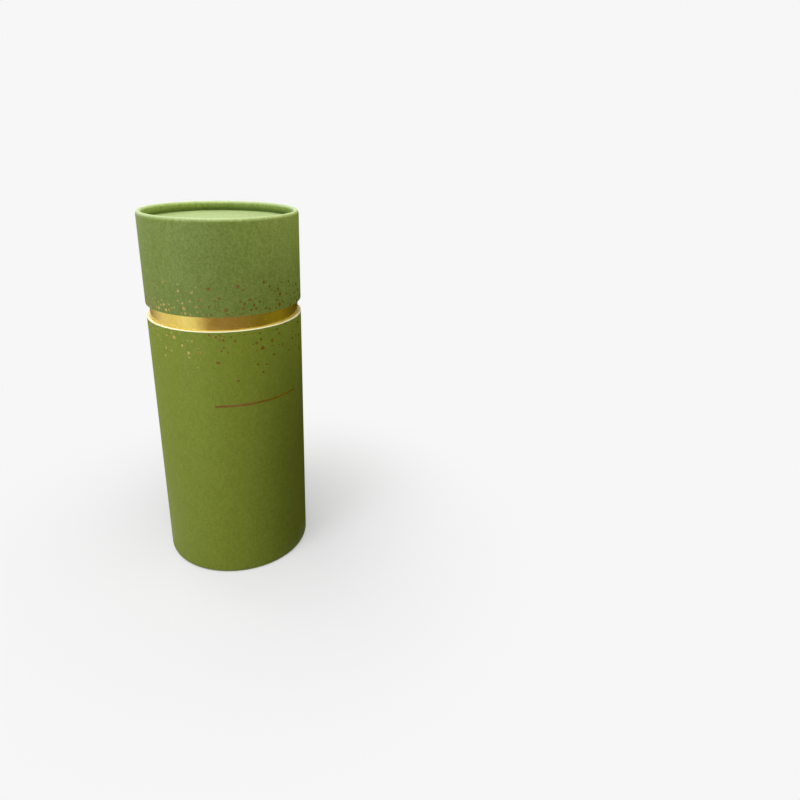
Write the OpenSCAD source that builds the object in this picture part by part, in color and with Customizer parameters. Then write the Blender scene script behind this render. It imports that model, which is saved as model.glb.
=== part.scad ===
// Cylindrical gift tube box: a wrapped board tube with a lift-off lid on a foil-covered neck.
// The axis is Z. The tube stands on z = 0 and its front faces -Y. Sizes are in millimetres.
// Papers and boards are glued: a paste film keeps each curved face clear of the next.

/* [Overall] */
// Outer diameter of the base and of the lid, which are cut from one wrapped tube
outer_d = 83; // [60:1:120]
// Height of the base, from the standing ring to its cut rim
base_h = 145.5; // [90:0.5:240]
// Height of the neck that shows between the base and the closed lid
reveal_h = 7.5; // [2:0.5:20]
// Height of the lid, from its cut edge to the crest of its rolled rim
lid_h = 47.5; // [25:0.5:90]

/* [Papers] */
// Thickness of the outer paper
wrap_t = 0.3; // [0.15:0.05:0.5]
// Paste film between a paper and the board under it
paste_t = 0.05; // [0.03:0.01:0.1]
// Thickness of the foil paper on the neck
foil_t = 0.15; // [0.1:0.05:0.3]
// Thickness of the white paper inside the lid
lining_t = 0.12; // [0.1:0.01:0.3]
// Thickness of the greaseproof liner inside the neck
liner_t = 0.25; // [0.15:0.05:0.5]
// Thickness of the paper on the outer face of each end disc
facing_t = 0.2; // [0.1:0.05:0.4]
// Width of the lap where the outer paper meets itself
lap_w = 7; // [4:0.5:12]
// Height of the step that the lap makes in the surface
lap_rise = 0.1; // [0.05:0.01:0.2]
// Direction of the lap round the tube, counted from +X
lap_angle = 135; // [115:5:155]

/* [Boards] */
// Wall of the lid's board tube
lid_wall = 1.05; // [0.8:0.05:1.8]
// Wall of the neck's board tube
neck_wall = 1.2; // [0.8:0.1:2.5]
// Thickness of the board disc in each end
disc_t = 2; // [1:0.1:3.5]
// Thickness of the disc that floors the inside
floor_t = 0.5; // [0.3:0.1:1.5]

/* [Rolled rims] */
// Depth of the lid's disc below the crest of its rim
lid_recess = 5.2; // [3:0.1:9]
// Height of the bottom disc above the standing ring
base_recess = 5.2; // [3:0.1:9]
// Corner radius of the rolled board, under the paper
roll_round = 1.05; // [0.4:0.05:1.4]
// Softened edge of each cut board rim
cut_round = 0.2; // [0.05:0.05:0.35]

/* [Fits] */
// Radial running clearance between the lid and the neck
slide_gap = 0.25; // [0.15:0.05:0.5]
// Gap between the top of the neck and the closed lid
seat_gap = 0.1; // [0.05:0.05:0.3]
// Radial clearance round each end disc
disc_gap = 0.05; // [0.03:0.01:0.2]

/* [Hidden] */
$fn = 128;

// Colours
green_paper = "#75873f";
gold_foil = "#c49a3c";
grey_board = "#d9cfae";
white_paper = "#f0ede3";

// Radii, from the outer paper inwards to the liner
outer_r = outer_d / 2;
board_r = outer_r - wrap_t - paste_t;
lid_bore_r = board_r - lid_wall;
lining_r = lid_bore_r - paste_t;
lining_bore_r = lining_r - lining_t;
foil_r = lining_bore_r - slide_gap;
neck_r = foil_r - foil_t - paste_t;
neck_bore_r = neck_r - neck_wall;
liner_r = neck_bore_r - paste_t;
liner_bore_r = liner_r - liner_t;

// Arc of the lap, in degrees
lap_arc = lap_w / outer_r * 180 / PI;

// The base's bore takes the foil-covered neck
base_bore_r = foil_r + paste_t;
base_wall = board_r - base_bore_r;

// Heights of the base's pieces
bottom_disc_z = base_recess + facing_t;
floor_z = bottom_disc_z + disc_t;

// Heights of the closed lid's pieces
lid_z = base_h + reveal_h;
total_h = lid_z + lid_h;
facing_z = total_h - lid_recess - facing_t;
lid_disc_z = facing_z - disc_t;
lid_paper_z = lid_disc_z - lining_t;
neck_top_z = lid_paper_z - seat_gap;

// How far one shape runs past another that it cuts
overrun = 1;

// Half section of a bar between two radii, rounded at its two top corners
module rounded_bar(r_in, r_out, low, high, corner) {
    translate([r_in, low])
        square([r_out - r_in, high - corner - low]);
    translate([r_in + corner, low])
        square([r_out - r_in - 2 * corner, high - low]);
    for (r = [r_in + corner, r_out - corner])
        translate([r, high - corner])
            circle(corner);
}

// Radius that rounds a rolled wall, held a little under the wall itself
function roll_corner(wall) = min(roll_round, 0.95 * wall);

// Half section of a board wall from its cut rim, at 0, to its roll, at the given height
module rolled_board(bore_r, wall, height, recess) {
    cover = wrap_t + paste_t;
    translate([bore_r, cut_round])
        square([wall, height - recess]);
    mirror([0, 1])
        rounded_bar(bore_r, bore_r + wall, -height / 2, 0, cut_round);
    rounded_bar(bore_r - wall, bore_r + wall, height - recess, height - cover, roll_corner(wall));
}

// Half section of the paper that covers the board and follows it round the roll
module rolled_paper(bore_r, wall, height, recess) {
    cover = wrap_t + paste_t;
    translate([bore_r + wall + paste_t, 0])
        square([wrap_t, height - recess + overrun / 2]);
    difference() {
        rounded_bar(bore_r - wall - cover, bore_r + wall + cover, height - recess, height,
            roll_corner(wall) + cover);
        rounded_bar(bore_r - wall - paste_t, bore_r + wall + paste_t, height - recess - overrun,
            height - wrap_t, roll_corner(wall) + paste_t);
    }
}

// Lap of the outer paper, a low strip between two heights of a wrapped wall
module lap_strip(low, high) {
    rotate([0, 0, lap_angle - lap_arc / 2])
        rotate_extrude(angle = lap_arc)
            translate([outer_r - wrap_t / 2, low])
                square([wrap_t / 2 + lap_rise, high - low]);
}

// Straight tube between two radii and two heights
module plain_tube(r_out, r_in, low, high) {
    translate([0, 0, low])
        rotate_extrude()
            translate([r_in, 0])
                square([r_out - r_in, high - low]);
}

// Flat disc lying on a height
module plain_disc(r, low, thickness) {
    translate([0, 0, low])
        cylinder(r = r, h = thickness);
}

// Wound board tube of the base, rolled in at the bottom and cut square at the rim
module base_tube() {
    color(grey_board)
        rotate_extrude()
            translate([0, base_h])
                mirror([0, 1])
                    rolled_board(base_bore_r, base_wall, base_h, base_recess);
}

// Green paper on the base, rolled under with the board and lapped at the back
module base_wrap() {
    color(green_paper) {
        rotate_extrude()
            translate([0, base_h])
                mirror([0, 1])
                    rolled_paper(base_bore_r, base_wall, base_h, base_recess);
        lap_strip(base_recess, base_h);
    }
}

// Board disc held above the base's roll
module bottom_disc() {
    color(grey_board)
        plain_disc(base_bore_r - disc_gap, bottom_disc_z, disc_t);
}

// Green paper on the underside of the bottom disc
module bottom_paper() {
    color(green_paper)
        plain_disc(base_bore_r - disc_gap, base_recess, facing_t);
}

// Wound board neck, glued into the base and standing on its bottom disc
module neck_tube() {
    color(grey_board)
        plain_tube(neck_r, neck_bore_r, floor_z, neck_top_z);
}

// Gold foil paper round the neck
module neck_foil() {
    color(gold_foil)
        plain_tube(foil_r, foil_r - foil_t, floor_z, neck_top_z);
}

// Greaseproof liner inside the neck
module inner_liner() {
    color(white_paper)
        plain_tube(liner_r, liner_bore_r, floor_z, neck_top_z);
}

// Lined disc that floors the inside
module inner_floor() {
    color(white_paper)
        plain_disc(liner_bore_r - disc_gap, floor_z, floor_t);
}

// Wound board tube of the lid, rolled in at the top and cut square at its lower edge
module lid_tube() {
    color(grey_board)
        translate([0, 0, lid_z])
            rotate_extrude()
                rolled_board(lid_bore_r, lid_wall, lid_h, lid_recess);
}

// Green paper on the lid, rolled in with the board and lapped in line with the base's
module lid_wrap() {
    color(green_paper) {
        translate([0, 0, lid_z])
            rotate_extrude()
                rolled_paper(lid_bore_r, lid_wall, lid_h, lid_recess);
        lap_strip(lid_z, total_h - lid_recess);
    }
}

// Board disc held under the lid's roll
module lid_disc() {
    color(grey_board)
        plain_disc(lid_bore_r - disc_gap, lid_disc_z, disc_t);
}

// Green paper on the top of the lid's disc
module lid_top_paper() {
    color(green_paper)
        plain_disc(lid_bore_r - disc_gap, facing_z, facing_t);
}

// White paper lining of the lid's wall, which slides over the neck
module lid_lining() {
    color(white_paper)
        plain_tube(lining_r, lining_bore_r, lid_z, lid_disc_z);
}

// White paper under the lid's disc, which comes down on the neck
module lid_inner_paper() {
    color(white_paper)
        plain_disc(lining_bore_r - disc_gap, lid_paper_z, lining_t);
}

base_tube();
base_wrap();
bottom_disc();
bottom_paper();
neck_tube();
neck_foil();
inner_liner();
inner_floor();
lid_tube();
lid_wrap();
lid_disc();
lid_top_paper();
lid_lining();
lid_inner_paper();
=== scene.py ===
"""Gift tube box: green paper, cut board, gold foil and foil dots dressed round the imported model."""
import math
import random

import bmesh
import bpy
from mathutils import Matrix, Vector, noise


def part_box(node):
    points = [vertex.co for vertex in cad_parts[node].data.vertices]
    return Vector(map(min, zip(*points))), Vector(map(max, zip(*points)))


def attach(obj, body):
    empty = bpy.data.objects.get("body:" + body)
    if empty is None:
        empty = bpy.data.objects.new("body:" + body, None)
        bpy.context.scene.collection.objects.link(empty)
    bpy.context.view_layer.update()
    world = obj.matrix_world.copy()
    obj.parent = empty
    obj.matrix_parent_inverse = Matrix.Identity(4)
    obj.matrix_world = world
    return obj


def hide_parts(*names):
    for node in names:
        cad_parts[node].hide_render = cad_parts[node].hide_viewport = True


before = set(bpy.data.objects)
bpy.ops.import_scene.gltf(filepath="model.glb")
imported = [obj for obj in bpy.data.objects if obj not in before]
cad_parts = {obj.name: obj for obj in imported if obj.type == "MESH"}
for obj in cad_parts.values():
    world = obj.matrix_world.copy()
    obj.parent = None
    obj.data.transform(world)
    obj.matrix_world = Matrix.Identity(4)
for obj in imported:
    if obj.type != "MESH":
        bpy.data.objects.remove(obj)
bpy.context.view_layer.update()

MM = 0.001
FULL_TURN = 2 * math.pi

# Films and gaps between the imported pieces, and the thickness of the outer paper
PAPER_T = 0.3 * MM
PASTE_T = 0.05 * MM
DISC_GAP = 0.05 * MM

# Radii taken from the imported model, from the outer paper inwards, and the bores round its pieces
OUTER_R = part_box("base_wrap")[1].x
BOARD_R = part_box("base_tube")[1].x
FOIL_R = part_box("neck_foil")[1].x
NECK_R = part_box("neck_tube")[1].x
LINER_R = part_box("inner_liner")[1].x
LINING_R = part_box("lid_lining")[1].x
LID_DISC_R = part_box("lid_disc")[1].x
BASE_BORE_R = FOIL_R + PASTE_T
FOIL_BORE_R = NECK_R + PASTE_T
NECK_BORE_R = LINER_R + PASTE_T
LINER_BORE_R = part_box("inner_floor")[1].x + DISC_GAP
LINING_BORE_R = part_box("lid_inner_paper")[1].x + DISC_GAP
LID_BORE_R = LID_DISC_R + DISC_GAP
BASE_WALL = BOARD_R - BASE_BORE_R
LID_WALL = BOARD_R - LID_BORE_R

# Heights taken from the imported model
SOLE_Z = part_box("bottom_paper")[0].z
RIM_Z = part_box("base_wrap")[1].z
NECK_LOW_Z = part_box("neck_tube")[0].z
NECK_TOP_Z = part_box("neck_tube")[1].z
CUT_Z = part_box("lid_wrap")[0].z
LID_BOARD_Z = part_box("lid_disc")[0].z
DISC_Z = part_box("lid_top_paper")[1].z
CREST_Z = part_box("lid_wrap")[1].z
LID_H = CREST_Z - CUT_Z
LID_RECESS = CREST_Z - DISC_Z
FACING_T = DISC_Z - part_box("lid_top_paper")[0].z


# Camera, at the photograph's place in front of the tube and a little to its left

IMAGE_PX = 800
SENSOR_MM = 36
FOCAL_PX = 614.1
CENTRE_X_PX = 377.7
CENTRE_Y_PX = 373.6
CAMERA_DISTANCE = 342.1 * MM
CAMERA_HEIGHT = 237.9 * MM
CAMERA_SIDE = math.radians(-21.5)
CAMERA_YAW = 0.2525
CAMERA_PITCH = 0.3691
CAMERA_ROLL = 0.0245


def add_camera():
    forward = Vector((math.sin(CAMERA_YAW) * math.cos(CAMERA_PITCH),
                      math.cos(CAMERA_YAW) * math.cos(CAMERA_PITCH),
                      -math.sin(CAMERA_PITCH)))
    level = Vector((math.cos(CAMERA_YAW), -math.sin(CAMERA_YAW), 0))
    over = level.cross(forward)
    right = level * math.cos(CAMERA_ROLL) + over * math.sin(CAMERA_ROLL)
    up = over * math.cos(CAMERA_ROLL) - level * math.sin(CAMERA_ROLL)
    turned = Matrix((right, up, -forward)).transposed().to_4x4()
    place = Matrix.Translation((0, -CAMERA_DISTANCE, CAMERA_HEIGHT))
    camera = bpy.data.objects.new("camera", bpy.data.cameras.new("camera"))
    camera.matrix_world = Matrix.Rotation(CAMERA_SIDE, 4, "Z") @ place @ turned
    camera.data.sensor_width = SENSOR_MM
    camera.data.lens = FOCAL_PX * SENSOR_MM / IMAGE_PX
    camera.data.shift_x = 0.5 - CENTRE_X_PX / IMAGE_PX
    camera.data.shift_y = CENTRE_Y_PX / IMAGE_PX - 0.5
    camera.data.clip_start = 0.01
    bpy.context.scene.collection.objects.link(camera)
    bpy.context.scene.camera = camera


# Shader maths

class Value:
    """A socket in a node tree, with operators, so that shader maths reads as Python."""

    def __init__(self, tree, socket):
        self.tree = tree
        self.socket = socket

    def maths(self, operation, first, second):
        return add_node(self.tree, "ShaderNodeMath", {"operation": operation}, {0: first, 1: second})

    def __add__(self, other):
        return self.maths("ADD", self, other)

    def __sub__(self, other):
        return self.maths("SUBTRACT", self, other)

    def __rsub__(self, other):
        return self.maths("SUBTRACT", other, self)

    def __mul__(self, other):
        return self.maths("MULTIPLY", self, other)

    def __truediv__(self, other):
        return self.maths("DIVIDE", self, other)

    def __rtruediv__(self, other):
        return self.maths("DIVIDE", other, self)

    def __pow__(self, other):
        return self.maths("POWER", self, other)

    def __rpow__(self, other):
        return self.maths("POWER", other, self)

    __radd__ = __add__
    __rmul__ = __mul__


def add_node(tree, kind, settings=None, sockets=None, out=0):
    """Adds a node, sets its settings, then its sockets, and returns one output as a Value."""
    node = tree.nodes.new(kind)
    for name, value in (settings or {}).items():
        if name == "ramp":
            set_ramp(node.color_ramp, value)
        else:
            setattr(node, name, value)
    for name, value in (sockets or {}).items():
        if isinstance(value, Value):
            tree.links.new(value.socket, node.inputs[name])
        else:
            node.inputs[name].default_value = value
    return Value(tree, node.outputs[out]) if node.outputs else node


def set_ramp(ramp, stops):
    while len(ramp.elements) < len(stops):
        ramp.elements.new(1)
    for element, (position, colour) in zip(ramp.elements, stops):
        element.position = position
        element.color = (*colour, 1)


# A Mix node's colour sockets, by number, because its other types use the same names
MIX_FIRST = 6
MIX_SECOND = 7
MIX_OUT = 2


class Finish:
    """A material under construction: its node tree, the noises it uses and its final shader."""

    def __init__(self, name):
        self.material = bpy.data.materials.new(name)
        self.material.use_nodes = True
        self.tree = self.material.node_tree
        self.tree.nodes.clear()
        self.place = self.node("ShaderNodeTexCoord", out="Object")

    def node(self, kind, settings=None, sockets=None, out=0):
        return add_node(self.tree, kind, settings, sockets, out)

    def noise(self, size, detail, roughness, stretch=(1, 1, 1)):
        """Noise from 0 to 1 with cells of about the given size."""
        place = self.node("ShaderNodeMapping", None, {"Vector": self.place, "Scale": stretch})
        return self.node("ShaderNodeTexNoise", None, {
            "Vector": place, "Scale": 1 / size, "Detail": detail, "Roughness": roughness})

    def spread(self, value, low, high):
        """Stretches the band from low to high over 0 to 1, with soft ends."""
        return self.node("ShaderNodeMapRange", {"interpolation_type": "SMOOTHSTEP"},
                         {"Value": value, "From Min": low, "From Max": high})

    def mix(self, share, first, second):
        """The first colour where the share is 0 and the second where it is 1."""
        return self.node("ShaderNodeMix", {"data_type": "RGBA"},
                         {"Factor": share, MIX_FIRST: first, MIX_SECOND: second}, out=MIX_OUT)

    def axes(self):
        """The place on the object, as its x, y and z."""
        split = self.node("ShaderNodeSeparateXYZ", None, {"Vector": self.place})
        return [Value(self.tree, socket) for socket in split.socket.node.outputs]

    def radius(self):
        """The distance from the tube's axis."""
        across, along, _ = self.axes()
        return (across * across + along * along) ** 0.5

    def bump(self, height, distance, strength=1.0, normal=None):
        sockets = {"Height": height, "Distance": distance, "Strength": strength}
        if normal is not None:
            sockets["Normal"] = normal
        return self.node("ShaderNodeBump", None, sockets)

    def output(self, shader):
        self.node("ShaderNodeOutputMaterial", None, {"Surface": shader})
        return self.material

    def surface(self, **sockets):
        named = {name.replace("_", " "): value for name, value in sockets.items()}
        return self.output(self.node("ShaderNodeBsdfPrincipled", None, named))


def srgb(red, green, blue):
    """A colour written as it looks on screen, 0 to 255, as linear light."""
    def linear(channel):
        share = channel / 255
        return share / 12.92 if share <= 0.04045 else ((share + 0.055) / 1.055) ** 2.4
    return linear(red), linear(green), linear(blue)


def rgba(colour, gain=1.0):
    return tuple(channel * gain for channel in colour) + (1,)


# Finishes

GREEN = srgb(133, 149, 54)
GREEN_DEEP = srgb(117, 133, 41)
GREEN_PALE = srgb(154, 170, 80)
# Paper rubbed paler on a roll's crest, whose pale colour is also a painted highlight
GREEN_RUBBED_HIGHLIGHT = srgb(190, 207, 148)
# Painted shade inside a roll where it meets the disc, as linear light
GREEN_SHADE = (0.045, 0.10, 0.01)
PULP = srgb(252, 249, 220)
CREAM = srgb(249, 245, 210)
CREAM_DARK = srgb(232, 222, 176)
GOLD = (0.80, 0.62, 0.14)
GOLD_DEEP = (0.72, 0.53, 0.10)
COPPER = (0.55, 0.42, 0.12)
COPPER_DEEP = (0.46, 0.34, 0.09)
WHITE = srgb(236, 233, 222)
WHITE_WARM = srgb(226, 220, 203)

# The green paper's grain, and how far its rubbed crest with its painted highlight and its bared pulp wander
CLOUD = 9 * MM
GRAIN = 1.2 * MM
FLECK = 0.75 * MM
FIBRE = 1.6 * MM
FIBRE_STRETCH = (1, 1, 0.4)
RUB_AND_HIGHLIGHT_DEPTH = 1.7 * MM
RUB_AND_HIGHLIGHT_WANDER = 0.9 * MM
PULP_FLECK = 0.7 * MM
PULP_WANDER = 0.12 * MM
PULP_FADE = 0.07 * MM

# The painted shade on the inner side of a roll, darkening towards the disc: the height and radius where it
# starts, and its end, just past the disc
SHADE_H = 3.4 * MM
SHADE_R = OUTER_R - 2.6 * MM
SHADE_FADE = 1 * MM
SHADE_END = (LID_RECESS - 0.05 * MM, LID_RECESS + 0.1 * MM)


def green_finish(name, cut_z, cut_side, bared, crest_z, tint, mottle, shine=0.23):
    """Uncoated printed paper, rubbed pale with a painted highlight on a roll's crest at crest_z, and with
    painted shade inside the roll.

    Its raw edge is at cut_z, faces up where cut_side is 1 and down where it is -1, and shows pale pulp
    for the width that is bared. The tint multiplies the three channels of the printed greens. mottle is
    1 on the toothy paper of the lid and less on a smoother one, and shine is its specular level.
    """
    deep, green, pale = (rgba(channel * gain for channel, gain in zip(printed, tint))
                         for printed in (GREEN_DEEP, GREEN, GREEN_PALE))
    paper = Finish(name)
    clouds = paper.noise(CLOUD, detail=3, roughness=0.5)
    grain = paper.noise(GRAIN, detail=4, roughness=0.6)
    flecks = paper.noise(FLECK, detail=3, roughness=0.65)
    fibres = paper.noise(FIBRE, detail=3, roughness=0.6, stretch=FIBRE_STRETCH)
    tone = paper.spread(clouds * 0.1 + grain * 0.6 + fibres * 0.3, low=0.41, high=0.59)
    colour = paper.mix((tone - 0.5) * mottle + 0.5, deep, green)
    pale_share = paper.spread(flecks, low=0.52, high=0.68) * (0.55 * mottle)
    colour = paper.mix(pale_share, colour, pale)

    _, _, height = paper.axes()
    depth = (height - crest_z) * cut_side
    # rub marks the crest: paper rubbed paler and burnished, whose pale colour is also a painted highlight
    rub = paper.spread((fibres - 0.5) * RUB_AND_HIGHLIGHT_WANDER - depth, low=-RUB_AND_HIGHLIGHT_DEPTH, high=0)
    colour = paper.mix(rub * 0.75, colour, rgba(GREEN_RUBBED_HIGHLIGHT))

    # Painted shade on the inner side of the roll, darkening down towards the disc
    inner_side = 1 - paper.spread(paper.radius(), SHADE_R, SHADE_R + SHADE_FADE)
    shade = paper.spread(depth, LID_RECESS - SHADE_H, LID_RECESS) * (1 - paper.spread(depth, *SHADE_END))
    colour = paper.mix(shade * inner_side * 0.8, colour, rgba(GREEN_SHADE))

    ragged = height * cut_side + paper.noise(PULP_FLECK, detail=3, roughness=0.7) * PULP_WANDER
    foot = cut_z * cut_side - bared
    colour = paper.mix(paper.spread(ragged, foot, foot + PULP_FADE), colour, rgba(PULP))

    relief = paper.bump(fibres, distance=0.12 * MM, strength=0.3)
    felt = paper.bump(grain * 0.6 + flecks * 0.4, distance=0.08 * MM, strength=0.7, normal=relief)
    return paper.surface(Base_Color=colour, Roughness=paper.spread(grain, low=0.2, high=0.8) * 0.12 + 0.55,
                         Specular_IOR_Level=shine, Coat_Weight=rub * 0.4, Coat_Roughness=0.35, Normal=felt)


# Thickness of one ply of the wound board
PLY_T = 0.35 * MM


def board_finish():
    """Raw cream board: plies on a cut edge, pulp grain elsewhere."""
    board = Finish("raw_board")
    plies = board.node("ShaderNodeMath", {"operation": "SINE"}, {0: board.radius() * (FULL_TURN / PLY_T)})
    pulp = board.noise(0.5 * MM, detail=4, roughness=0.7)
    clouds = board.noise(4 * MM, detail=2, roughness=0.5)
    tone = board.spread(plies * 0.12 + pulp * 0.7 + clouds * 0.3, low=0.25, high=0.8)
    return board.surface(Base_Color=board.mix(tone, rgba(CREAM_DARK), rgba(CREAM)), Roughness=0.85,
                         Normal=board.bump(pulp + plies * 0.15, distance=0.08 * MM, strength=0.5))


def foil_finish(name, bright, deep, roughness, cell, sway):
    """Metal foil laid on paper. Its surface sways by the given height in each cell."""
    foil = Finish(name)
    waves = foil.noise(cell, detail=2, roughness=0.5)
    tooth = foil.noise(0.35 * MM, detail=3, roughness=0.6)
    rub = foil.noise(2.2 * MM, detail=4, roughness=0.7)
    tone = foil.spread(waves * 0.6 + rub * 0.4, low=0.35, high=0.65)
    relief = foil.bump(waves, distance=sway, strength=0.3)
    return foil.surface(Base_Color=foil.mix(tone, rgba(deep), rgba(bright)), Metallic=1.0,
                        Roughness=foil.spread(rub, low=0.3, high=0.75) * 0.08 + roughness,
                        Normal=foil.bump(tooth, distance=0.006 * MM, strength=0.3, normal=relief))


# Half the width of the spiral joint, as a share of its lead
JOINT_SHARE = 0.012


def white_finish(name, roughness, spiral=0.0):
    """Smooth lining paper, with the spiral joint of the wound tube showing faintly at a given lead."""
    paper = Finish(name)
    across, along, height = paper.axes()
    grain = paper.noise(0.6 * MM, detail=3, roughness=0.6)
    clouds = paper.noise(CLOUD, detail=2, roughness=0.5)
    tone = paper.spread(grain * 0.4 + clouds * 0.6, low=0.35, high=0.65)
    colour = paper.mix(tone, rgba(WHITE_WARM), rgba(WHITE))
    relief = paper.bump(grain, distance=0.04 * MM, strength=0.35)
    if spiral:
        turn = paper.node("ShaderNodeMath", {"operation": "ARCTAN2"}, {0: along, 1: across})
        lead = paper.node("ShaderNodeMath", {"operation": "FRACT"},
                          {0: height / spiral + turn / FULL_TURN})
        off_joint = paper.node("ShaderNodeMath", {"operation": "ABSOLUTE"}, {0: lead - 0.5})
        plain = paper.spread(off_joint, low=0, high=JOINT_SHARE)
        colour = paper.mix((1 - plain) * 0.35, colour, rgba(WHITE_WARM, 0.7))
        relief = paper.bump(plain, distance=0.12 * MM, strength=0.8, normal=relief)
    return paper.surface(Base_Color=colour, Roughness=roughness, Normal=relief)


# Meshes

# Steps round a plain piece and round one with puckers, both spun in equal sectors
ROUND_STEPS = 360
PUCKER_STEPS = 810
SECTORS = 15
WELD = 0.001 * MM
BEVEL_SEGMENTS = 8
SHARP_ANGLE = math.radians(32)
# Longer than any leg of a roll, and shorter than a wall
ROLL_LEG = 6 * MM


def add_mesh(name, bm, material):
    """Turns a bmesh into an object with one material."""
    mesh = bpy.data.meshes.new(name)
    bm.to_mesh(mesh)
    bm.free()
    mesh.materials.append(material)
    item = bpy.data.objects.new(name, mesh)
    bpy.context.scene.collection.objects.link(item)
    return item


def finish_piece(name, bm, material, body, node=None, sharp=SHARP_ANGLE):
    """Turns a bmesh into a piece that rides on a body and, where named, replaces a node."""
    for face in bm.faces:
        face.smooth = True
    piece = add_mesh(name, bm, material)
    piece.data.set_sharp_from_angle(angle=sharp)
    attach(piece, body)
    if node:
        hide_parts(node)


def outline(corners, step=0.0):
    """A closed wire of corners (radius, height, rounding).

    Where a step is given, the short legs of a roll are cut into lengths of about that step.
    """
    bm = bmesh.new()
    verts = [bm.verts.new((radius, 0, height)) for radius, height, _ in corners]
    for first, second in zip(verts, verts[1:] + verts[:1]):
        bm.edges.new((first, second))
    for vert, (_, _, rounding) in zip(verts, corners):
        if rounding:
            bmesh.ops.bevel(bm, geom=[vert], offset=rounding, offset_type="OFFSET", segments=BEVEL_SEGMENTS,
                            profile=0.5, affect="VERTICES", material=-1)
    if step:
        for edge in [leg for leg in bm.edges if 2 * step < leg.calc_length() < ROLL_LEG]:
            bmesh.ops.subdivide_edges(bm, edges=[edge], cuts=int(edge.calc_length() / step))
    return bm


def lathe(bm, steps):
    """Spins a wire a full turn about Z, sector by sector, and closes it with its faces outwards."""
    bmesh.ops.spin(bm, geom=bm.verts[:] + bm.edges[:], axis=(0, 0, 1), cent=(0, 0, 0),
                   angle=FULL_TURN / SECTORS, steps=steps // SECTORS)
    sector = bm.verts[:] + bm.edges[:] + bm.faces[:]
    for index in range(1, SECTORS):
        copied = bmesh.ops.duplicate(bm, geom=sector)["geom"]
        turned = [item for item in copied if isinstance(item, bmesh.types.BMVert)]
        bmesh.ops.rotate(bm, verts=turned, cent=(0, 0, 0),
                         matrix=Matrix.Rotation(index * FULL_TURN / SECTORS, 3, "Z"))
    bmesh.ops.remove_doubles(bm, verts=bm.verts, dist=WELD)
    bmesh.ops.recalc_face_normals(bm, faces=bm.faces)
    return bm


def plain_tube(bore_r, out_r, low, top, out_round, bore_round):
    """A straight tube whose upper edges may be rounded."""
    corners = [(bore_r, low, 0), (out_r, low, 0), (out_r, top, out_round), (bore_r, top, bore_round)]
    return lathe(outline(corners), ROUND_STEPS)


def radius_of(vert):
    return math.hypot(vert.co.x, vert.co.y)


def turn_of(vert):
    return math.atan2(vert.co.y, vert.co.x)


def push_out(vert, distance):
    """Moves a vertex straight away from the tube's axis."""
    gain = 1 + distance / radius_of(vert)
    vert.co.x *= gain
    vert.co.y *= gain


def ring_noise(turn, cells, height):
    """Noise from -1 to 1 read round a ring, so that it joins up. The ring's radius is given in cells."""
    return noise.noise(Vector((math.cos(turn) * cells, math.sin(turn) * cells, height)))


# The pressed roll. Its corners are given from its outer and inner faces and down from its crest, with
# roundings as shares of 1 mm, which shrink where the outline lies inside the paper's face.
SHOULDER_W = 0.8 * MM
SHOULDER_H = 1.5 * MM
SHOULDER_ROUND = 0.75
CREST_ROUND = 0.5
INNER_SHOULDER_W = 0.15 * MM
INNER_SIDE = [(0.12 * MM, 1.1 * MM, 0.6), (0, 2.4 * MM, 0.6), (0.2 * MM, 3.7 * MM, 0.5)]
FOOT_OUT = 0.75 * MM
ROUND_LOSS = 1.7

# Roundings of cut edges, how far the foot of a roll stays off its disc, and the grid of the puckers
CUT_ROUND = 0.2 * MM
NECK_ROUND = 0.15 * MM
PAPER_ROUND = 0.06 * MM
PAPER_FOOT = 0.08 * MM
BOARD_FOOT = 0.4 * MM
PUCKER_GRID = 0.8 * MM


def roll(out_r, width, height, foot, inset):
    """Corners over a pressed roll, from its outer shoulder to the foot that tucks in at the disc."""
    outer, inner, crest = out_r - inset, out_r - width + inset, height - inset
    soft = MM - ROUND_LOSS * inset
    return [
        (outer, crest - SHOULDER_H, SHOULDER_ROUND * soft),
        (outer - SHOULDER_W, crest, CREST_ROUND * soft),
        (inner + SHOULDER_W + INNER_SHOULDER_W, crest, CREST_ROUND * soft),
        *((inner + out, crest - depth, rounding * soft) for out, depth, rounding in INNER_SIDE),
        (inner + FOOT_OUT, foot, 0),
    ]


def rolled_paper(bore_r, wall, height, recess):
    """Outline of the outer paper, from its cut edge at 0 over the roll and down to the disc."""
    width = 2 * (wall + PASTE_T + PAPER_T)
    out_r = bore_r + width / 2
    foot = height - recess + PAPER_FOOT
    return [(out_r, 0, PAPER_ROUND), *roll(out_r, width, height, foot, 0),
            *reversed(roll(out_r, width, height, foot, PAPER_T)), (out_r - PAPER_T, 0, 0)]


def rolled_board(bore_r, wall, height, recess):
    """Outline of the board wall with its roll pressed shut."""
    cover = PASTE_T + PAPER_T
    width = 2 * (wall + cover)
    foot = height - recess + BOARD_FOOT
    return [(bore_r, 0, CUT_ROUND), (bore_r + wall, 0, CUT_ROUND),
            *roll(bore_r + width / 2, width, height, foot, cover), (bore_r, foot, 0)]


def base_shell(section, steps, step=0.0):
    """A rolled outline spun into the base, upside down, because the base stands on its roll."""
    corners = [(radius, RIM_Z - height, rounding) for radius, height, rounding in
               section(BASE_BORE_R, BASE_WALL, RIM_Z, SOLE_Z)]
    return lathe(outline(corners, step), steps)


def lid_shell(section, steps, step=0.0):
    """A rolled outline spun into the lid and lifted to its place."""
    bm = lathe(outline(section(LID_BORE_R, LID_WALL, LID_H, LID_RECESS), step), steps)
    bmesh.ops.translate(bm, verts=bm.verts, vec=(0, 0, CUT_Z))
    return bm


# Puckers in the paper, where it is gathered over a roll: fine folds on a slower sway. They are full
# GATHER_W in from the wall, and end a little farther from the crest than the disc lies.
FOLD_CELLS = 21
FOLD_DEPTH = 0.1 * MM
CREST_FOLD = 0.2 * MM
SWAY_CELLS = 3
SWAY_DEPTH = 0.05 * MM
SWAY_SHIFT = 7
GATHER_W = 3 * MM
GATHER_MORE = 1 * MM


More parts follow.
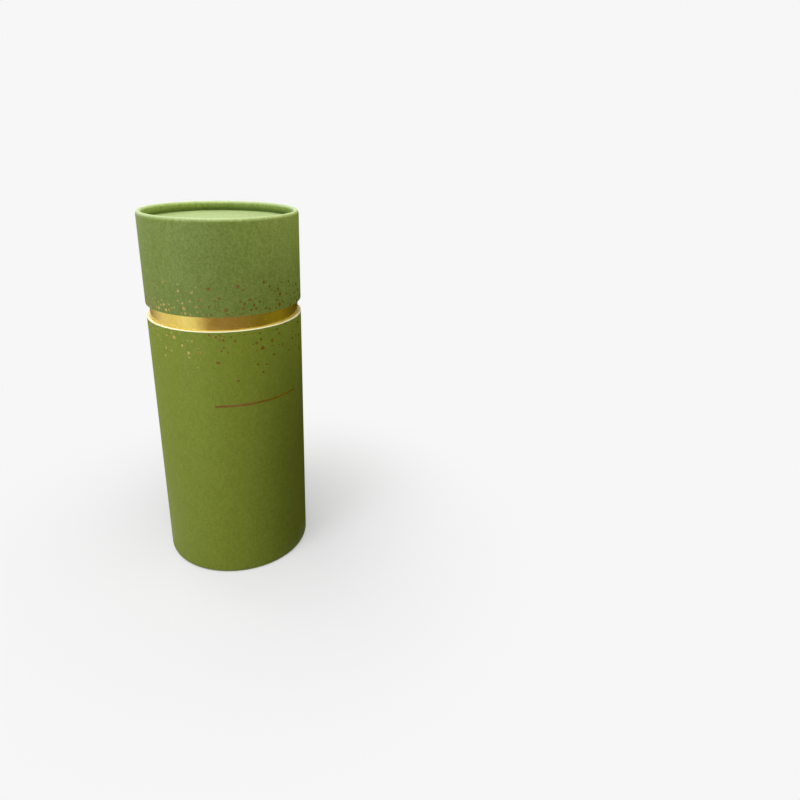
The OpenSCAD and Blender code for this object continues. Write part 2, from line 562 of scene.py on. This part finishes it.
def pucker(bm, crest_z, side, depth, seed):
    """Draws fine folds into the roll, where the paper is gathered to the smaller radius.

    side is 1 where the roll is at the top and -1 where it is at the bottom.
    """
    for vert in bm.verts:
        if (crest_z - vert.co.z) * side > depth + GATHER_MORE:
            continue
        gathered = min(max((OUTER_R - radius_of(vert)) / GATHER_W, 0), 1)
        fold = ring_noise(turn_of(vert), FOLD_CELLS, seed)
        sway = ring_noise(turn_of(vert), SWAY_CELLS, seed + SWAY_SHIFT)
        push_out(vert, -gathered * (fold * FOLD_DEPTH + sway * SWAY_DEPTH))
        vert.co.z -= side * abs(fold) * CREST_FOLD * gathered * (1 - gathered)


LAP_ANGLE = math.radians(135)
LAP_W = 7 * MM
LAP_ARC = LAP_W / OUTER_R
LAP_RISE = 0.1 * MM
LAP_FADE = 0.6


def lap(bm):
    """Raises the lap of the outer paper at the back, a step on one side that fades on the other."""
    for vert in bm.verts:
        share = (turn_of(vert) - LAP_ANGLE) / LAP_ARC + 0.5
        if radius_of(vert) >= OUTER_R - PAPER_T / 2 and 0 <= share <= 1:
            push_out(vert, LAP_RISE * (1 - share * LAP_FADE))


def add_papers(green_base, green_lid):
    base = base_shell(rolled_paper, PUCKER_STEPS, PUCKER_GRID)
    pucker(base, 0, -1, SOLE_Z, seed=3)
    lap(base)
    finish_piece("base_paper", base, green_base, "base", "base_wrap")

    lid = lid_shell(rolled_paper, PUCKER_STEPS, PUCKER_GRID)
    pucker(lid, CREST_Z, 1, LID_RECESS, seed=11)
    lap(lid)
    finish_piece("lid_paper", lid, green_lid, "lid", "lid_wrap")


def add_boards(board):
    base = base_shell(rolled_board, ROUND_STEPS)
    finish_piece("base_board", base, board, "base", "base_tube")
    lid = lid_shell(rolled_board, ROUND_STEPS)
    finish_piece("lid_board", lid, board, "lid", "lid_tube")
    neck = plain_tube(NECK_BORE_R, NECK_R, NECK_LOW_Z, NECK_TOP_Z, NECK_ROUND, NECK_ROUND)
    finish_piece("neck_board", neck, board, "base", "neck_tube")


# The neck's waves: how close they follow round it, how long they are along it, and their depth
NECK_WAVE_CELLS = 2.2
NECK_WAVE_H = 60 * MM
NECK_WAVE_DEPTH = 0.05 * MM


def add_neck_foil(gold):
    """Foil paper on the neck, with the shallow waves of the wound board under it."""
    bm = plain_tube(FOIL_BORE_R, FOIL_R, NECK_LOW_Z, NECK_TOP_Z, PAPER_ROUND, 0)
    for vert in bm.verts:
        if radius_of(vert) > FOIL_R - PAPER_T / 2:
            wave = ring_noise(turn_of(vert), NECK_WAVE_CELLS, vert.co.z / NECK_WAVE_H)
            push_out(vert, (wave - 0.5) * NECK_WAVE_DEPTH)
    finish_piece("gold_neck", bm, gold, "base", "neck_foil")


def add_lining(liner, lining):
    sleeve = plain_tube(LINER_BORE_R, LINER_R, NECK_LOW_Z, NECK_TOP_Z, PAPER_ROUND, PAPER_ROUND)
    finish_piece("liner_sleeve", sleeve, liner, "base", "inner_liner")
    inside = plain_tube(LINING_BORE_R, LINING_R, CUT_Z, LID_BOARD_Z, 0, 0)
    finish_piece("lid_sleeve", inside, lining, "lid", "lid_lining")


FACE_SIDES = 180
FACE_RINGS = 14
FACE_RING_W = LID_DISC_R / (FACE_RINGS + 1.5)
SWELL_CELL = 22 * MM
SWELL_H = 0.12 * MM
SWELL_SEED = 5
# The swell stays nearly even across the disc and ends at its edge
SWELL_POWER = 8


def add_lid_face(green):
    """Green paper on the lid's disc: nearly flat, with a slight swell and a soft ring at its edge."""
    bm = bmesh.new()
    bmesh.ops.create_circle(bm, cap_ends=True, radius=LID_DISC_R, segments=FACE_SIDES)
    for _ in range(FACE_RINGS):
        middle = min(bm.faces, key=lambda face: face.calc_center_median().length)
        bmesh.ops.inset_individual(bm, faces=[middle], thickness=FACE_RING_W)
    for vert in bm.verts:
        spot = Vector((vert.co.x / SWELL_CELL, vert.co.y / SWELL_CELL, SWELL_SEED))
        share = vert.co.length / LID_DISC_R
        vert.co.z = (noise.noise(spot) - 1) * SWELL_H * (1 - share ** SWELL_POWER)
    wall = bmesh.ops.extrude_face_region(bm, geom=bm.faces[:])
    for item in wall["geom"]:
        if isinstance(item, bmesh.types.BMVert):
            item.co.z = -FACING_T
    bmesh.ops.recalc_face_normals(bm, faces=bm.faces)
    bmesh.ops.translate(bm, verts=bm.verts, vec=(0, 0, DISC_Z))
    finish_piece("lid_face", bm, green, "lid", "lid_top_paper")


# Foil dots and the rule line

PRINT_PROUD = 0.012 * MM
PRINT_DEPTH = 0.06 * MM
DOT_SIDES = 14
DOT_SHARP_ANGLE = math.radians(40)
GOLDEN_TURN = 0.618
TURN_SHAKE = 0.05
# A dot's usual, least and greatest radius in mm, and the spread of its logarithm
DOT_R = 0.6
DOT_R_LEAST = 0.34
DOT_R_MOST = 1
DOT_R_SPREAD = 0.32
DOT_SPACE = 0.5 * MM
DOT_SQUEEZE = (0.86, 1.1)
EDGE_SPACE = 0.8 * MM
# The farthest dots, as a multiple of the reach
FARTHEST = 3.6


def scatter(name, seed, count, near_z, away, reach, body, copper):
    """Foil dots spread evenly round the tube, thickest at near_z and thinning out away from it."""
    draw = random.Random(seed)
    bm = bmesh.new()
    placed = []
    seat = Matrix.Translation((0, 0, OUTER_R + PRINT_PROUD - PRINT_DEPTH / 2))
    while len(placed) < count:
        turn = ((len(placed) * GOLDEN_TURN + draw.uniform(0, TURN_SHAKE)) % 1) * FULL_TURN
        far = draw.expovariate(1 / reach) + EDGE_SPACE
        drawn = draw.lognormvariate(math.log(DOT_R), DOT_R_SPREAD)
        size = min(max(drawn, DOT_R_LEAST), DOT_R_MOST) * MM
        if far > reach * FARTHEST:
            continue
        spot = Vector((turn * OUTER_R, near_z + away * far))
        if any((spot - other).length < size + other_size + DOT_SPACE for other, other_size in placed):
            continue
        placed.append((spot, size))
        disc = bmesh.ops.create_cone(bm, cap_ends=True, segments=DOT_SIDES, radius1=size, radius2=size,
                                     depth=PRINT_DEPTH)
        squeeze = Matrix.Diagonal((draw.uniform(*DOT_SQUEEZE), draw.uniform(*DOT_SQUEEZE), 1, 1))
        outwards = Matrix.Rotation(turn, 4, "Z") @ Matrix.Rotation(math.pi / 2, 4, "Y")
        lift = Matrix.Translation((0, 0, spot.y))
        bmesh.ops.transform(bm, matrix=lift @ outwards @ seat @ squeeze, verts=disc["verts"])
    finish_piece(name, bm, copper, body, sharp=DOT_SHARP_ANGLE)


RULE_Z = 105.2 * MM
RULE_H = 1.3 * MM
RULE_ARC = math.radians(67.4)
RULE_STEPS = 72


def add_rule_line(copper):
    """The plain copper line across the front of the base."""
    bm = bmesh.new()
    low, high = RULE_Z - RULE_H / 2, RULE_Z + RULE_H / 2
    inner, outer = OUTER_R - PRINT_DEPTH, OUTER_R + PRINT_PROUD
    start = Matrix.Rotation(-math.pi / 2 - RULE_ARC / 2, 3, "Z")
    corners = [start @ Vector(corner) for corner in
               ((inner, 0, low), (outer, 0, low), (outer, 0, high), (inner, 0, high))]
    face = bm.faces.new([bm.verts.new(corner) for corner in corners])
    bmesh.ops.spin(bm, geom=[face], axis=(0, 0, 1), cent=(0, 0, 0), angle=RULE_ARC, steps=RULE_STEPS)
    bmesh.ops.remove_doubles(bm, verts=bm.verts, dist=WELD)
    bmesh.ops.recalc_face_normals(bm, faces=bm.faces)
    finish_piece("rule_line", bm, copper, "base")


# Studio

BACKGROUND = srgb(247, 247, 247)
WORLD_COLOUR = (1, 0.98, 0.95)
WORLD_STRENGTH = 0.05

# The ground as the camera sees it and as it throws light back, and where it fades into the background
GROUND_COLOUR = (0.71, 0.71, 0.73)
GROUND_BOUNCE = (0.22, 0.20, 0.15)
GROUND_R = 3.0
GROUND_SIDES = 96
FADE_FROM = 0.045
FADE_TO = 0.2


def seen_directly(tree):
    """1 where a ray comes from the camera, a mirror or glass, and 0 for light on other surfaces."""
    camera, mirror, glass = (add_node(tree, "ShaderNodeLightPath", out=ray) for ray in
                             ("Is Camera Ray", "Is Glossy Ray", "Is Transmission Ray"))
    return add_node(tree, "ShaderNodeMath", {"operation": "MINIMUM"}, {0: camera + mirror + glass, 1: 1})


def add_world():
    world = bpy.data.worlds.new("studio")
    world.use_nodes = True
    tree = world.node_tree
    tree.nodes.clear()
    light = add_node(tree, "ShaderNodeBackground", None,
                     {"Color": rgba(WORLD_COLOUR), "Strength": WORLD_STRENGTH})
    shown = add_node(tree, "ShaderNodeBackground", None, {"Color": rgba(BACKGROUND), "Strength": 1.0})
    both = add_node(tree, "ShaderNodeMixShader", None, {0: seen_directly(tree), 1: light, 2: shown})
    add_node(tree, "ShaderNodeOutputWorld", None, {"Surface": both})
    bpy.context.scene.world = world


def add_floor():
    """A pale round floor that keeps the tube's shadow and fades into the background."""
    ground = Finish("pale_floor")
    direct = ground.node("ShaderNodeLightPath", out="Is Camera Ray")
    tooth = ground.noise(3 * MM, detail=2, roughness=0.5)
    lit = ground.node("ShaderNodeBsdfDiffuse", None, {
        "Color": ground.mix(direct, rgba(GROUND_BOUNCE), rgba(GROUND_COLOUR)),
        "Normal": ground.bump(tooth, distance=0.01 * MM, strength=0.1)})
    plain = ground.node("ShaderNodeEmission", None, {"Color": rgba(BACKGROUND), "Strength": 1.0})
    faded = (ground.spread(ground.radius(), FADE_FROM, FADE_TO) * 0.6 + 0.4) * seen_directly(ground.tree)
    material = ground.output(ground.node("ShaderNodeMixShader", None, {0: faded, 1: lit, 2: plain}))
    bm = bmesh.new()
    bmesh.ops.create_circle(bm, cap_ends=True, radius=GROUND_R, segments=GROUND_SIDES)
    floor = add_mesh("floor", bm, material)


# The room as the foil mirrors it, first below HIGH_FROM_Z and then above it: how far round the tube a
# tone lies, in degrees to the right of the camera, and its colour
ROOM = [
    (-180, (0.24, 0.18, 0.07)), (-142, (0.34, 0.25, 0.10)), (-112, (0.79, 0.76, 0.76)),
    (-84, (0.98, 0.97, 1.05)), (-54, (0.88, 0.87, 1.0)), (-42, (0.74, 0.71, 0.82)),
    (-24, (0.36, 0.27, 0.24)), (15, (0.31, 0.24, 0.20)), (50, (0.20, 0.18, 0.04)),
    (84, (0.22, 0.195, 0.01)), (108, (0.14, 0.125, 0.02)), (130, (0.09, 0.07, 0.01)),
    (155, (0.09, 0.07, 0.01)), (180, (0.24, 0.18, 0.07)),
]
ROOM_HIGH = [
    (-180, (1.1, 1.15, 1.2)), (-150, (0.7, 0.7, 0.8)), (-125, (1.7, 1.7, 1.8)),
    (-60, (1.8, 1.8, 1.9)), (-35, (0.8, 0.7, 0.6)), (-15, (0.30, 0.26, 0.20)),
    (35, (0.22, 0.19, 0.10)), (60, (0.20, 0.175, 0.04)), (100, (0.14, 0.125, 0.02)),
    (140, (0.10, 0.08, 0.03)), (165, (0.9, 0.95, 1.0)), (180, (1.1, 1.15, 1.2)),
]
CARD_NEAR_R = 0.046
CARD_R = 0.30
CARD_FOOT_Z = 1 * MM
CARD_TOP_Z = 0.45
CARD_STEPS = 72
HIGH_FROM_Z = 0.16
HIGH_FADE = 0.02


def add_cards():
    """Cards round the tube that only its foil and the shine of its paper can see."""
    card = Finish("cards")
    turned = card.node("ShaderNodeMapping", None, {
        "Vector": card.place, "Rotation": (0, 0, math.pi / 2 - CAMERA_SIDE)})
    share = card.node("ShaderNodeTexGradient", {"gradient_type": "RADIAL"}, {"Vector": turned}, out=1)
    low, high = (card.node("ShaderNodeValToRGB", {"ramp": [(0.5 + way / 360, tone) for way, tone in room]},
                           {"Fac": share}) for room in (ROOM, ROOM_HIGH))
    _, _, height = card.axes()
    colour = card.mix(card.spread(height, HIGH_FROM_Z, HIGH_FROM_Z + HIGH_FADE), low, high)
    material = card.output(card.node("ShaderNodeEmission", None, {"Color": colour, "Strength": 1.0}))
    bm = bmesh.new()
    near, foot, top = (bm.verts.new((radius, 0, height)) for radius, height in
                       ((CARD_NEAR_R, CARD_FOOT_Z), (CARD_R, CARD_FOOT_Z), (CARD_R, CARD_TOP_Z)))
    bm.edges.new((near, foot))
    bm.edges.new((foot, top))
    bmesh.ops.spin(bm, geom=bm.verts[:] + bm.edges[:], axis=(0, 0, 1), cent=(0, 0, 0),
                   angle=FULL_TURN, steps=CARD_STEPS)
    cards = add_mesh("cards", bm, material)
    cards.visible_camera = False
    cards.visible_diffuse = False
    cards.visible_shadow = False
    cards.visible_transmission = False


# The lamps, turned with the camera: name, place, width and height, watts, colour, the point that each
# one faces, and the angle that its honeycomb lets out, 180 without one
TUBE_MIDDLE = (0, 0, 0.1)
OVER_LID = (0, 0, 0.29)
LAMPS = [
    ("overhead", (-0.12, -0.25, 1.25), (0.9, 0.9), 16.5, (1, 1, 0.95), TUBE_MIDDLE, 180),
    ("back_window", (-0.6, 1.15, 0.6), (1.0, 0.8), 4.8, (1, 1, 1), TUBE_MIDDLE, 180),
    ("left_softbox", (-0.9, -0.75, 0.45), (0.6, 0.7), 6.2, (0.97, 1, 1.15), TUBE_MIDDLE, 180),
    ("front_softbox", (0.1, -1.2, 0.35), (0.6, 0.5), 0.5, (1, 0.98, 0.75), TUBE_MIDDLE, 180),
    ("lid_lamp", (0.5, -0.1, 0.3), (0.12, 0.12), 0.13, (1, 0.98, 0.75), OVER_LID, 42),
]


def add_lamp(name, place, size, power, colour, aim, honeycomb):
    light = bpy.data.lights.new(name, "AREA")
    light.shape = "RECTANGLE"
    light.size, light.size_y = size
    light.energy = power
    light.color = colour
    light.spread = math.radians(honeycomb)
    lamp = bpy.data.objects.new(name, light)
    from_camera = Matrix.Rotation(CAMERA_SIDE, 3, "Z")
    lamp.location = from_camera @ Vector(place)
    towards = from_camera @ Vector(aim) - lamp.location
    lamp.rotation_euler = towards.to_track_quat("-Z", "Y").to_euler()
    lamp.visible_camera = False
    bpy.context.scene.collection.objects.link(lamp)


def main():
    add_camera()
    add_world()
    add_floor()
    add_cards()
    for lamp in LAMPS:
        add_lamp(*lamp)

    green_base = green_finish("green_paper_base", cut_z=RIM_Z, cut_side=1, bared=0.22 * MM, crest_z=0,
                              tint=(1.01, 0.985, 0.8), mottle=0.6)
    green_lid = green_finish("green_paper_lid", cut_z=CUT_Z, cut_side=-1, bared=0, crest_z=CREST_Z,
                             tint=(0.93, 0.975, 1.6), mottle=1)
    # The lid's top face is the same paper, tinted brighter and bluer as painted light: the stronger light
    # from above and a painted sheen at its grazing angle
    green_face_painted_light = green_finish("green_paper_face_painted_light", cut_z=CUT_Z, cut_side=-1, bared=0, crest_z=CREST_Z,
                              tint=(1.65, 1.61, 5.4), mottle=0.8, shine=0.3)
    board = board_finish()
    gold = foil_finish("gold_foil", GOLD, GOLD_DEEP, roughness=0.2, cell=9 * MM, sway=0.2 * MM)
    copper = foil_finish("copper_foil", COPPER, COPPER_DEEP, roughness=0.12, cell=2 * MM, sway=0.004 * MM)
    liner = white_finish("liner_paper", roughness=0.42, spiral=62 * MM)
    lining = white_finish("lining_paper", roughness=0.7)

    add_papers(green_base, green_lid)
    add_boards(board)
    add_neck_foil(gold)
    add_lining(liner, lining)
    add_lid_face(green_face_painted_light)
    scatter("lid_dots", seed=5, count=240, near_z=CUT_Z, away=1, reach=5.2 * MM, body="lid", copper=copper)
    scatter("base_dots", seed=8, count=170, near_z=RIM_Z, away=-1, reach=7.5 * MM, body="base",
            copper=copper)
    add_rule_line(copper)

    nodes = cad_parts
    for name, material in (("bottom_disc", board), ("lid_disc", board), ("bottom_paper", green_base),
                           ("inner_floor", liner), ("lid_inner_paper", lining)):
        nodes[name].data.materials.clear()
        nodes[name].data.materials.append(material)

    bpy.context.scene.view_settings.view_transform = "Standard"


main()
